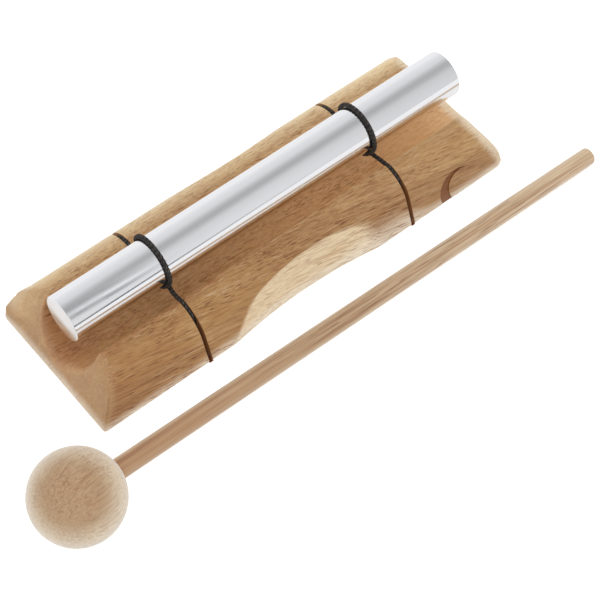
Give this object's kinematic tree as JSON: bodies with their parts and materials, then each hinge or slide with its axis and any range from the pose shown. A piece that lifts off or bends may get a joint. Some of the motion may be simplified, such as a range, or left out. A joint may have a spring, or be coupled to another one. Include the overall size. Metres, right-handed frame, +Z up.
{
  "type": "chime bar",
  "caption": "Tuned metal bar slung in two cord loops over a troughed wooden base, with a wooden ball mallet lying beside it.",
  "frame": {"origin": "middle of the base's underside, on the surface it stands on", "axes": "+X along the bar and the base, towards the mallet stick's free end; +Y away from the mallet; +Z up"},
  "size_m": [0.2238, 0.09, 0.0338],
  "materials": {
    "base_wood": "satin",
    "bar_metal": "polished",
    "cord": "matte",
    "mallet_wood": "satin"
  },
  "bodies": {
    "base": {"wooden_base": "base_wood"},
    "sling": {"cord_left": "cord", "cord_right": "cord"},
    "bar": {"chime_bar": "bar_metal"},
    "mallet": {"mallet_head": "mallet_wood", "mallet_stick": "mallet_wood"}
  },
  "joints": [
    {"name": "bar_bounce", "type": "slide", "parent": "base", "child": "sling", "axis": [0, 0, 1], "range_m": [-0.002, 0.001], "stiffness_N_per_m": 1500, "springref_m": 0.00058, "deforming": ["cord_left", "cord_right"]},
    {"name": "bar_spin", "type": "hinge", "parent": "sling", "child": "bar", "pos_m": [0.0007, 0, 0.0239], "axis": [1, 0, 0], "continuous": true},
    {"name": "mallet_lift", "type": "slide", "parent": "base", "child": "mallet", "axis": [0, 0, 1], "range_m": [0, 0.12]}
  ]
}
